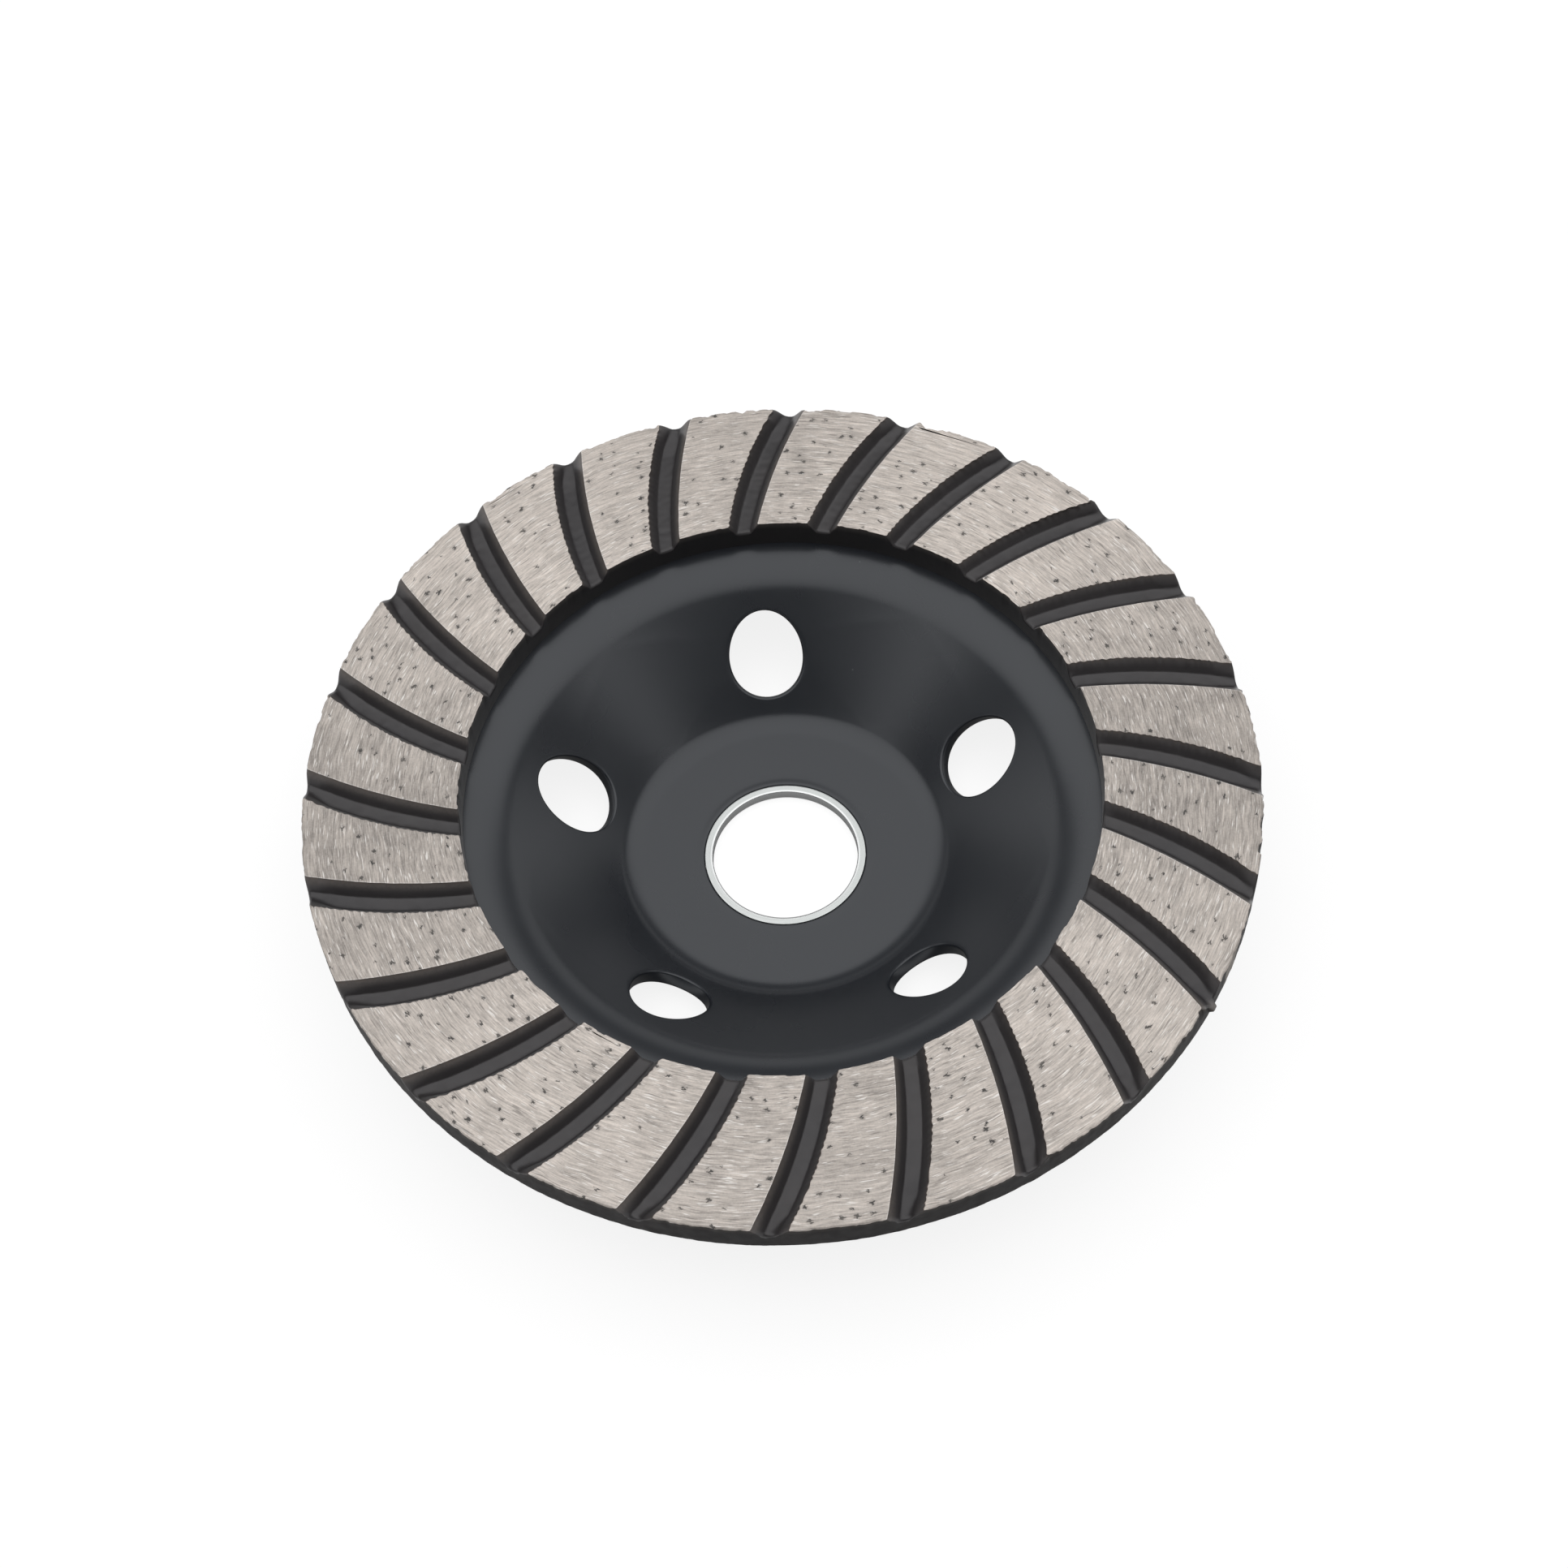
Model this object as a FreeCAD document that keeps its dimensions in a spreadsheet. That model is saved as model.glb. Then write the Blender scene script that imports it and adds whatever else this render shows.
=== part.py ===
import FreeCAD, Part

# Diamond cup wheel with a turbo ring: a pressed steel cup, a sintered abrasive
# ring bonded on its flange, and a reducing ring in its bore.
#
# Frame: millimetres, +Z up along the bore axis. The origin is the centre of the
# hub's back face, on which the wheel lies with its grinding face up. The first
# vent lies on +Y.

import math
import os

import Sketcher
from FreeCAD import Placement, Rotation, Vector

# Driving dimensions: name, value, meaning. Lengths are in millimetres, angles in degrees.
SIZES = (
    ("wheel_diameter", 127.0, "outer diameter of the abrasive ring"),
    ("ring_width", 20.8, "abrasive ring from its bore to its outer edge"),
    ("ring_height", 4.5, "flange to grinding face"),
    ("groove_count", 24, "grooves round the abrasive ring"),
    ("groove_width", 4.2, "groove width at the grinding face, square to its run"),
    ("groove_floor", 1.6, "groove width at its floor"),
    ("groove_depth", 1.9, "grinding face to groove floor"),
    ("groove_sweep", 68.0, "radius of the arc that a groove runs along"),
    ("groove_offset", 70.3, "wheel axis to the centre of that arc"),
    ("groove_phase", 8.1, "turn of the abrasive ring on the flange"),
    ("flange_inset", 1.5, "outer edge of the abrasive ring to the edge of the flange"),
    ("ledge_width", 3.5, "bore of the abrasive ring to where the lines of flange and cone cross"),
    ("sheet_thickness", 1.8, "thickness of the pressed sheet"),
    ("well_depth", 14.3, "top of the flange down to the floor of the well"),
    ("shoulder_bend", 9.0, "bend radius between cone and flange, inside the cup"),
    ("hub_diameter", 43.0, "where the lines of cone and hub cross"),
    ("hub_bend", 5.0, "bend radius between cone and hub, inside the cup"),
    ("hub_bore", 22.23, "bore punched in the hub"),
    ("vent_count", 5, "vents round the cone"),
    ("vent_height", 0.435, "vent centre up the cone, as a share of the cone's slope"),
    ("vent_length", 0.545, "vent opening up the cone, as a share of the cone's slope"),
    ("vent_width", 0.84, "vent opening round the cone, as a share of its length"),
    ("arbor_bore", 20.0, "bore of the reducing ring"),
    ("bush_recess", 0.2, "reducing ring short of the hub's back face"),
    ("bush_clearance", 0.03, "gap between reducing ring and hub bore, on the radius"),
    ("bush_chamfer", 0.15, "chamfer on the reducing ring's edges"),
)

# Dimensions that follow from the driving ones: name, formula, meaning.
DERIVED = (
    ("wheel_radius", "wheel_diameter / 2", "wheel axis to the abrasive ring's outer edge"),
    ("ring_bore_radius", "wheel_radius - ring_width", "wheel axis to the abrasive ring's bore"),
    ("flange_radius", "wheel_radius - flange_inset", "wheel axis to the flange's edge"),
    ("shoulder_radius", "ring_bore_radius - ledge_width",
     "wheel axis to where the lines of flange and cone cross"),
    ("cone_reach", "shoulder_radius - hub_diameter / 2", "radial extent of the cone's line"),
    ("cone_slope", "sqrt(cone_reach ^ 2 + well_depth ^ 2)", "length of the cone's line"),
    ("flange_top", "sheet_thickness + well_depth", "hub's back face to the flange's top"),
    ("bush_radius", "hub_bore / 2 - bush_clearance", "wheel axis to the reducing ring's outside"),
    ("bush_length", "sheet_thickness - bush_recess", "reducing ring along the axis"),
)
SIZE = {name: value for name, value, meaning in SIZES}

FULL_TURN = 360.0

# The sketcher's own numbers: the origin point lies on the horizontal axis.
AXIS = -1
START, END, CENTRE = 1, 2, 3


def add_sizes(doc):
    """Write the sizes and their formulas to a sheet, and read the formulas' values back."""
    sheet = doc.addObject("Spreadsheet::Sheet", "Sizes")
    driving = tuple((name, str(value), meaning) for name, value, meaning in SIZES)
    derived = tuple((name, "=" + formula, meaning) for name, formula, meaning in DERIVED)
    for row, (name, content, meaning) in enumerate(driving + derived, start=1):
        sheet.set("A%d" % row, name)
        sheet.set("B%d" % row, content)
        sheet.set("C%d" % row, meaning)
        sheet.setAlias("B%d" % row, name)
    doc.recompute()
    for name, formula, meaning in DERIVED:
        SIZE[name] = sheet.get(name)


def add_body(doc, name):
    body = doc.addObject("PartDesign::Body", name)
    body.Label = name
    return body


def origin_feature(body, role):
    return next(item for item in body.Origin.OriginFeatures if item.Role == role)


def add_sketch(body, name, plane):
    sketch = body.newObject("Sketcher::SketchObject", name)
    sketch.AttachmentSupport = (origin_feature(body, plane), "")
    sketch.MapMode = "FlatFace"
    return sketch


def line(first, last):
    return Part.LineSegment(Vector(*first), Vector(*last))


def arc(centre, radius, start, end):
    return Part.ArcOfCircle(Part.Circle(Vector(*centre), Vector(0, 0, 1), radius), start, end)


def relate(sketch, kind, *rows):
    """Add one constraint of a kind for each row of geometry and points."""
    for row in rows:
        sketch.addConstraint(Sketcher.Constraint(kind, *row))


def bind(sketch, name, expression, kind, *where):
    """Add a dimension to a sketch and tie it to the sizes."""
    value = sketch.evalExpression(expression)
    index = sketch.addConstraint(Sketcher.Constraint(kind, *where, value))
    sketch.renameConstraint(index, name)
    sketch.setExpression("Constraints." + name, expression)


def draw_ring_section(sketch, inner, outer, height):
    """Rectangle beside the axis; inner, outer and height are expressions."""
    low, high, top = (sketch.evalExpression(size) for size in (inner, outer, height))
    corners = ((low, 0), (high, 0), (high, top), (low, top))
    bottom, outside, lid, inside = range(4)
    for index in (bottom, outside, lid, inside):
        sketch.addGeometry(line(corners[index], corners[(index + 1) % 4]), False)
    relate(sketch, "Coincident", (bottom, END, outside, START), (outside, END, lid, START),
           (lid, END, inside, START), (inside, END, bottom, START))
    relate(sketch, "Horizontal", (lid,))
    relate(sketch, "Vertical", (outside,), (inside,))
    relate(sketch, "PointOnObject", (bottom, START, AXIS), (bottom, END, AXIS))
    bind(sketch, "inner", inner, "DistanceX", AXIS, START, bottom, START)
    bind(sketch, "outer", outer, "DistanceX", AXIS, START, bottom, END)
    bind(sketch, "height", height, "DistanceY", outside, START, outside, END)


def revolve(body, sketch, name):
    turn = body.newObject("PartDesign::Revolution", name)
    turn.Profile = sketch
    turn.ReferenceAxis = (sketch, ["V_Axis"])
    turn.Angle = FULL_TURN
    body.Tip = turn
    body.Document.recompute()
    return turn


def repeat_round_axis(body, feature, name, count):
    pattern = body.newObject("PartDesign::PolarPattern", name)
    pattern.Originals = [feature]
    pattern.Axis = (origin_feature(body, "Z_Axis"), [""])
    pattern.Angle = FULL_TURN
    pattern.setExpression("Occurrences", count)
    body.Tip = pattern
    body.Document.recompute()
    return pattern


def round_edges(shape):
    """Names of a shape's circular edges."""
    return ["Edge%d" % number for number, edge in enumerate(shape.Edges, start=1)
            if isinstance(edge.Curve, Part.Circle)]


# The cup.

def draw_cup_section(sketch):
    """Half section of the pressed cup: two faces one sheet apart all the way."""
    thick = SIZE["sheet_thickness"]
    bore = SIZE["hub_bore"] / 2
    rim = SIZE["flange_radius"]
    flange = SIZE["flange_top"]
    hub_corner = (SIZE["hub_diameter"] / 2, thick)
    shoulder_corner = (SIZE["shoulder_radius"], flange)
    slope = math.atan2(SIZE["well_depth"], SIZE["cone_reach"])
    hub_bend, shoulder_bend = SIZE["hub_bend"], SIZE["shoulder_bend"]
    hub_x = hub_corner[0] - hub_bend * math.tan(slope / 2)
    shoulder_x = shoulder_corner[0] + shoulder_bend * math.tan(slope / 2)
    hub_centre = (hub_x, thick + hub_bend)
    shoulder_centre = (shoulder_x, flange - shoulder_bend)
    down, up = -math.pi / 2, math.pi / 2
    hub_inside = arc(hub_centre, hub_bend, down, down + slope)
    hub_outside = arc(hub_centre, hub_bend + thick, down, down + slope)
    shoulder_inside = arc(shoulder_centre, shoulder_bend, up, up + slope)
    shoulder_outside = arc(shoulder_centre, shoulder_bend - thick, up, up + slope)

    outline = (
        line((bore, thick), (hub_x, thick)),
        hub_inside,
        Part.LineSegment(hub_inside.EndPoint, shoulder_inside.EndPoint),
        shoulder_inside,
        line((shoulder_x, flange), (rim, flange)),
        line((rim, flange), (rim, flange - thick)),
        line((rim, flange - thick), (shoulder_x, flange - thick)),
        shoulder_outside,
        Part.LineSegment(shoulder_outside.EndPoint, hub_outside.EndPoint),
        hub_outside,
        line((hub_x, 0), (bore, 0)),
        line((bore, 0), (bore, thick)),
    )
    (hub_top, hub_in, cone_top, shoulder_in, flange_top, edge, flange_bottom,
     shoulder_out, cone_bottom, hub_out, hub_bottom, bore_wall) = range(len(outline))
    for curve in outline:
        sketch.addGeometry(curve, False)
    hub_point = sketch.addGeometry(Part.Point(Vector(*hub_corner)), True)
    shoulder_point = sketch.addGeometry(Part.Point(Vector(*shoulder_corner)), True)

    relate(sketch, "Tangent",
           (hub_top, END, hub_in, START), (hub_in, END, cone_top, START),
           (cone_top, END, shoulder_in, END), (shoulder_in, START, flange_top, START),
           (flange_bottom, END, shoulder_out, START), (shoulder_out, END, cone_bottom, START),
           (cone_bottom, END, hub_out, END), (hub_out, START, hub_bottom, START))
    relate(sketch, "Coincident",
           (flange_top, END, edge, START), (edge, END, flange_bottom, START),
           (hub_bottom, END, bore_wall, START), (bore_wall, END, hub_top, START),
           (hub_in, CENTRE, hub_out, CENTRE), (shoulder_in, CENTRE, shoulder_out, CENTRE))
    relate(sketch, "Horizontal", (hub_top,), (flange_top,), (flange_bottom,), (hub_bottom,))
    relate(sketch, "Vertical", (edge,), (bore_wall,))
    relate(sketch, "PointOnObject",
           (hub_bottom, END, AXIS),
           (hub_point, START, cone_top), (hub_point, START, hub_top),
           (shoulder_point, START, cone_top), (shoulder_point, START, flange_top))

    bind(sketch, "hub_sheet", "Sizes.sheet_thickness", "DistanceY",
         bore_wall, START, bore_wall, END)
    bind(sketch, "flange_sheet", "Sizes.sheet_thickness", "DistanceY", edge, END, edge, START)
    bind(sketch, "depth", "Sizes.well_depth", "DistanceY", hub_top, START, flange_top, END)
    bind(sketch, "bore", "Sizes.hub_bore / 2", "DistanceX", AXIS, START, hub_bottom, END)
    bind(sketch, "rim", "Sizes.flange_radius", "DistanceX", AXIS, START, edge, START)
    bind(sketch, "hub", "Sizes.hub_diameter / 2", "DistanceX", AXIS, START, hub_point, START)
    bind(sketch, "shoulder", "Sizes.shoulder_radius", "DistanceX",
         AXIS, START, shoulder_point, START)
    bind(sketch, "hub_radius", "Sizes.hub_bend", "Radius", hub_in)
    bind(sketch, "shoulder_radius", "Sizes.shoulder_bend", "Radius", shoulder_in)


def draw_vent_outline(sketch):
    """Oval that lies in the cone's upper face, with its long axis up the slope."""
    half_long = SIZE["cone_slope"] * SIZE["vent_length"] / 2
    half_wide = half_long * SIZE["vent_width"]
    oval = sketch.addGeometry(
        Part.Ellipse(Vector(0, half_long), Vector(half_wide, 0), Vector(0, 0)), False)
    sketch.exposeInternalGeometry(oval)
    long_axis, short_axis = oval + 1, oval + 2
    relate(sketch, "Coincident", (oval, CENTRE, AXIS, START))
    relate(sketch, "Vertical", (long_axis,))
    length = "Sizes.cone_slope * Sizes.vent_length"
    bind(sketch, "along_slope", length, "Distance", long_axis)
    bind(sketch, "round_cone", length + " * Sizes.vent_width", "Distance", short_axis)

    sketch.AttachmentOffset = Placement(Vector(0, 0, 0), Rotation(Vector(1, 0, 0), 1))
    sketch.setExpression(".AttachmentOffset.Rotation.Angle",
                         "atan(Sizes.well_depth / Sizes.cone_reach)")
    sketch.setExpression(".AttachmentOffset.Base.y",
                         "Sizes.hub_diameter / 2 + Sizes.vent_height * Sizes.cone_reach")
    sketch.setExpression(".AttachmentOffset.Base.z",
                         "Sizes.sheet_thickness + Sizes.vent_height * Sizes.well_depth")


def make_cup_body(doc):
    body = add_body(doc, "cup_body")
    section = add_sketch(body, "cup_section", "XZ_Plane")
    draw_cup_section(section)
    revolve(body, section, "cup")

    outline = add_sketch(body, "vent_outline", "XY_Plane")
    draw_vent_outline(outline)
    doc.recompute()
    vent = body.newObject("PartDesign::Pocket", "vent")
    vent.Profile = outline
    vent.Midplane = True
    vent.setExpression("Length", "4 * Sizes.sheet_thickness")
    body.Tip = vent
    doc.recompute()
    repeat_round_axis(body, vent, "vents", "Sizes.vent_count")
    return body


# The abrasive ring.

def draw_groove_section(sketch):
    """Flat floor between two leaning walls, drawn on past the grinding face.

    The sketch's own vertical axis is the axis of the arc that the groove follows.
    """
    centre, face, depth = (SIZE[name] for name in ("groove_sweep", "ring_height", "groove_depth"))
    half_floor, half_face = SIZE["groove_floor"] / 2, SIZE["groove_width"] / 2
    half_open = 2 * half_face - half_floor
    low, high = face - depth, face + depth
    corners = ((centre - half_floor, low), (centre + half_floor, low),
               (centre + half_open, high), (centre - half_open, high))
    floor, right_wall, lid, left_wall = range(4)
    for index in (floor, right_wall, lid, left_wall):
        sketch.addGeometry(line(corners[index], corners[(index + 1) % 4]), False)
    middle = sketch.addGeometry(line((centre, 0), (centre, high)), True)

    relate(sketch, "Coincident", (floor, END, right_wall, START), (right_wall, END, lid, START),
           (lid, END, left_wall, START), (left_wall, END, floor, START))
    relate(sketch, "Vertical", (middle,))
    relate(sketch, "PointOnObject", (middle, START, AXIS), (middle, END, lid))
    relate(sketch, "Symmetric", (floor, START, floor, END, middle), (lid, START, lid, END, middle))

    bind(sketch, "sweep", "Sizes.groove_sweep", "DistanceX", AXIS, START, middle, START)
    bind(sketch, "low", "Sizes.ring_height - Sizes.groove_depth", "DistanceY",
         AXIS, START, floor, START)
    bind(sketch, "high", "Sizes.ring_height + Sizes.groove_depth", "DistanceY",
         middle, START, middle, END)
    bind(sketch, "floor_width", "Sizes.groove_floor", "DistanceX", floor, START, floor, END)
    bind(sketch, "open_width", "2 * Sizes.groove_width - Sizes.groove_floor", "DistanceX",
         lid, END, lid, START)


def turn_to_reach(radius):
    """Angle along a groove's arc, from the line of centres out to a wheel radius."""
    return (
        "acos((Sizes.groove_offset ^ 2 + Sizes.groove_sweep ^ 2 - (%s) ^ 2)"
        " / (2 * Sizes.groove_offset * Sizes.groove_sweep))" % radius)


def make_abrasive_ring(doc):
    body = add_body(doc, "abrasive_ring")
    section = add_sketch(body, "ring_section", "XZ_Plane")
    draw_ring_section(section, "Sizes.ring_bore_radius", "Sizes.wheel_radius",
                      "Sizes.ring_height")
    revolve(body, section, "ring")

    first = turn_to_reach("Sizes.ring_bore_radius - Sizes.groove_width")
    last = turn_to_reach("Sizes.wheel_radius + Sizes.groove_width")
    groove_section = add_sketch(body, "groove_section", "YZ_Plane")
    draw_groove_section(groove_section)
    clockwise = Vector(0, -1, 0)
    groove_section.AttachmentOffset = Placement(Vector(0, 0, 0), Rotation(clockwise, 1))
    groove_section.setExpression(".AttachmentOffset.Base.x", "-Sizes.groove_offset")
    groove_section.setExpression(".AttachmentOffset.Rotation.Angle", first)
    doc.recompute()
    groove = body.newObject("PartDesign::Groove", "groove")
    groove.Profile = groove_section
    groove.ReferenceAxis = (groove_section, ["V_Axis"])
    groove.Reversed = True
    groove.setExpression("Angle", "%s - %s" % (last, first))
    body.Tip = groove
    doc.recompute()
    repeat_round_axis(body, groove, "grooves", "Sizes.groove_count")

    body.Placement = Placement(Vector(0, 0, 0), Rotation(Vector(0, 0, 1), 1))
    body.setExpression(".Placement.Base.z", "Sizes.flange_top")
    body.setExpression(".Placement.Rotation.Angle", "Sizes.groove_phase")
    return body


# The reducing ring.

def make_reducing_ring(doc):
    """Loose-fit bush that brings the hub's bore down to the arbor's size."""
    body = add_body(doc, "reducing_ring")
    section = add_sketch(body, "bush_section", "XZ_Plane")
    draw_ring_section(section, "Sizes.arbor_bore / 2", "Sizes.bush_radius", "Sizes.bush_length")
    bush = revolve(body, section, "bush")
    edges = body.newObject("PartDesign::Chamfer", "bush_edges")
    edges.Base = (bush, round_edges(bush.Shape))
    edges.setExpression("Size", "Sizes.bush_chamfer")
    body.Tip = edges
    body.setExpression(".Placement.Base.z", "Sizes.bush_recess")
    return body


def check(doc, bodies):
    for item in doc.Objects:
        if "Invalid" in item.State or "Error" in item.State:
            raise RuntimeError("%s did not build: %s" % (item.Label, item.State))
    for body in bodies:
        shape = body.Shape
        if shape.isNull() or not shape.isValid() or len(shape.Solids) != 1:
            raise RuntimeError("%s is not one valid solid" % body.Label)


def main():
    doc = FreeCAD.newDocument("diamond_cup_wheel")
    add_sizes(doc)
    bodies = [make_cup_body(doc), make_abrasive_ring(doc), make_reducing_ring(doc)]
    doc.recompute()
    check(doc, bodies)
    os.makedirs("parts", exist_ok=True)
    for body in bodies:
        body.Shape.exportStep("parts/%s.step" % body.Label)
        box = body.Shape.BoundBox
        print("%s: %.1f mm3, x %.2f..%.2f, y %.2f..%.2f, z %.2f..%.2f" % (
            body.Label, body.Shape.Volume, box.XMin, box.XMax, box.YMin, box.YMax,
            box.ZMin, box.ZMax))


main()
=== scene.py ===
import math

import bmesh
import bpy
import numpy as np
from mathutils import Matrix, Vector, noise


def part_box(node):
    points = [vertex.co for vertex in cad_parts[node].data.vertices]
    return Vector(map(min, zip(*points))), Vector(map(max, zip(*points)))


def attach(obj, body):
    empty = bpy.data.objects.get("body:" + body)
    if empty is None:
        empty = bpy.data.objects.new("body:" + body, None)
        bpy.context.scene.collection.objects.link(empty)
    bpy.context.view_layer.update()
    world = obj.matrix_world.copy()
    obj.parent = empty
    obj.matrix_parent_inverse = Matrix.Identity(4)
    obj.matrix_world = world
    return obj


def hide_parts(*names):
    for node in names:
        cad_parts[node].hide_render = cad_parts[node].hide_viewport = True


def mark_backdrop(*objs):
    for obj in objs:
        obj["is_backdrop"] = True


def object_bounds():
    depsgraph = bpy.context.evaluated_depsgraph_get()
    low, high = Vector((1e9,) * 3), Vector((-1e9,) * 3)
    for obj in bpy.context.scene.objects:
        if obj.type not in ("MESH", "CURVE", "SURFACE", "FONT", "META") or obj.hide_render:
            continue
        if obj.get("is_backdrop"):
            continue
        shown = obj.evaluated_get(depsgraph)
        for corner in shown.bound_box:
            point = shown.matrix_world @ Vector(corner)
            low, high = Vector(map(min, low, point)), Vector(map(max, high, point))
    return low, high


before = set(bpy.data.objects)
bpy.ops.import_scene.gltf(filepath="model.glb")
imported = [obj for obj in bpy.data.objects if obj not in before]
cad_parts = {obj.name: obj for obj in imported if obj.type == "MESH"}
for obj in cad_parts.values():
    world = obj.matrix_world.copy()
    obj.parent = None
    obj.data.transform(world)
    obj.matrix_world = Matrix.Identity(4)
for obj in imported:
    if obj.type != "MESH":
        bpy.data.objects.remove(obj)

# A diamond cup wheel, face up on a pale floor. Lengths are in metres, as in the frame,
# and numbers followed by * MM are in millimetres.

MM = 0.001
cad_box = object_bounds()
bush_low, bush_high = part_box("reducing_ring")
cup_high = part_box("cup_body")[1]
ring_low, ring_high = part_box("abrasive_ring")

# The cup. Its flange's radius, its two bends and their corners follow the photograph a
# little closer than the solid does.
SHEET = 1.8 * MM
FLANGE_RADIUS = cup_high.x + 0.45 * MM
FLANGE_TOP = cup_high.z
HUB_BORE = 11.115 * MM
HUB_CORNER = 21.3 * MM
HUB_BEND = 5.0 * MM
SHOULDER_CORNER = 39.15 * MM
SHOULDER_BEND = 11.0 * MM
CONE_SLOPE = math.atan2(FLANGE_TOP - SHEET, SHOULDER_CORNER - HUB_CORNER)
VENT_COUNT = 5
VENT_CENTRE = 29.2 * MM
VENT_HALF_LONG = 6.2 * MM
VENT_HALF_WIDE = 5.2 * MM
VENT_EDGE = 0.3 * MM
FIRST_VENT = 90.0
BORE_EDGE = 0.25 * MM
FLANGE_EDGE = 0.4 * MM
# The burr that the punch raised round the bore: its height, then radii and the share of
# that height at each.
BURR = 0.07 * MM
BURR_RINGS = ((12.3, 0.06), (12.1, 0.22), (11.9, 0.48), (11.7, 0.76), (11.55, 0.92))

# The abrasive ring.
RING_RADIUS = ring_high.x
RING_BORE = 42.7 * MM
RING_BASE = ring_low.z
FACE = ring_high.z
GROOVES = 24
PITCH = 360.0 / GROOVES
# Each lip of a groove runs along an arc: wheel axis to the arc's centre, azimuth of that
# centre, and the arc's radius.
SMOOTH_LIP = (82.73 * MM, -75.49, 82.62 * MM)
WAVY_LIP = (62.58 * MM, -59.21, 58.36 * MM)
# Its depth at the bore, at most and at the rim, and the share of its length at each.
GROOVE_DEPTHS = (1.77 * MM, 1.93 * MM, 1.65 * MM)
DEPTH_PLACES = (0.0, 0.78, 1.0)
LIP_DROP = 0.05 * MM
OUTLET_ROUNDING = 0.5 * MM
GROOVE_LUMPS = 0.035 * MM
# A groove's two walls: width as a share of half the groove, how much is added to it at the
# rim, and how sharply the wall meets the floor.
SMOOTH_WALL = (0.57, 0.12, 14.0)
WAVY_WALL = (0.53, 0.32, 10.0)
# A drop of paint that dried at one groove's outlet, and the part of the rim beside it that
# has lost its paint, from one azimuth to another.
DRIP_AZIMUTH = -36.4
DRIP_DEPTH = 2.05 * MM
DRIP_SIZE = 0.75 * MM
DRIP_REACH = (0.35 * MM, 0.95 * MM)
DRIP_GREY = 0.33
BARE_RIM = (-32.2, -29.0)
BARE_FADE = 0.4

# The reducing ring.
BUSH_BORE = 10.0 * MM
BUSH_BEVEL = 0.12 * MM
BUSH_EDGE = 0.05 * MM

# The camera, solved from the wheel's ellipses in the photograph. It aims at the centre
# of the grinding face, less two small angles.
PHOTO_TURN = -1.27
CAMERA_ELEVATION = 58.2056
CAMERA_ROLL = 4.2386
CAMERA_DISTANCE = 0.36431
CAMERA_AIM = (0.0013936, 0.00078132)
CAMERA_SENSOR = 36.0
PHOTO_WIDTH = 1932
PHOTO_FOCAL = 3393.64


# Shapes.

MERGE_DISTANCE = 0.0005 * MM
NOISE_STEPS = (17.3, 5.7, 31.1)


class Patches:
    """Grids of points that are joined into one mesh, with named values at the points."""

    def __init__(self, marks=()):
        self.points, self.faces, self.slots = [], [], []
        self.marks = {name: [] for name in marks}
        self.count = 0

    def add_points(self, points, **marks):
        """Add points and their values, and give back the points' numbers in the mesh."""
        flat = points.reshape(-1, 3)
        first = self.count
        self.points.append(flat)
        for name, values in self.marks.items():
            given = np.broadcast_to(marks.get(name, 0.0), points.shape[:-1])
            values.append(np.array(given, float).reshape(-1))
        self.count += len(flat)
        return np.arange(first, self.count).reshape(points.shape[:-1])

    def grid(self, points, slot=0, closed=False, **marks):
        """Rows by columns of points; closed joins the last column to the first."""
        index = self.add_points(points, **marks)
        if closed:
            index = np.concatenate([index, index[:, :1]], axis=1)
        quads = np.stack([index[:-1, :-1], index[:-1, 1:], index[1:, 1:], index[1:, :-1]], axis=-1)
        quads = quads.reshape(-1, 4).tolist()
        self.faces += quads
        self.slots += [slot] * len(quads)

    def polygon(self, points, slot=0):
        self.faces.append(self.add_points(points).tolist())
        self.slots.append(slot)

    def build(self, name, materials, sharp=35.0):
        """Join the patches into an object that is smooth up to an angle in degrees."""
        mesh = bpy.data.meshes.new(name)
        mesh.from_pydata(np.concatenate(self.points).tolist(), [], self.faces)
        for material in materials:
            mesh.materials.append(material)
        mesh.polygons.foreach_set("material_index", self.slots)
        for mark, values in self.marks.items():
            attribute = mesh.attributes.new(mark, "FLOAT", "POINT")
            attribute.data.foreach_set("value", np.concatenate(values).astype(np.float32))
        shape = bmesh.new()
        shape.from_mesh(mesh)
        bmesh.ops.remove_doubles(shape, verts=shape.verts, dist=MERGE_DISTANCE)
        bmesh.ops.recalc_face_normals(shape, faces=shape.faces)
        shape.to_mesh(mesh)
        shape.free()
        mesh.polygons.foreach_set("use_smooth", [True] * len(mesh.polygons))
        mesh.set_sharp_from_angle(angle=math.radians(sharp))
        mesh.update()
        piece = bpy.data.objects.new(name, mesh)
        bpy.context.scene.collection.objects.link(piece)
        return piece


def polar(radius, azimuth, height):
    """Points from radii, azimuths in degrees and heights, which may be arrays."""
    radius, azimuth, height = np.broadcast_arrays(radius, np.radians(azimuth), height)
    return np.stack([radius * np.cos(azimuth), radius * np.sin(azimuth), height], axis=-1)


def rough(points, cell, seed):
    """Smooth noise from about -1 to 1 at each point, with cells of the given size."""
    flat = np.asarray(points).reshape(-1, 3) / cell
    shift = Vector([seed * step for step in NOISE_STEPS])
    values = [noise.noise(Vector(point) + shift) for point in flat]
    return np.array(values).reshape(np.asarray(points).shape[:-1])


def smooth_step(value, low, high):
    """From 0 at the low value to 1 at the high one, with a soft start and end."""
    share = np.clip((value - low) / (high - low), 0.0, 1.0)
    return share * share * (3.0 - 2.0 * share)


def arc_points(centre, radius, start, end, count):
    """Points of an arc in a half section, as (radius, height); angles in degrees."""
    turn = np.radians(np.linspace(start, end, count))
    return [(centre[0] + radius * math.cos(a), centre[1] + radius * math.sin(a)) for a in turn]


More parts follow.
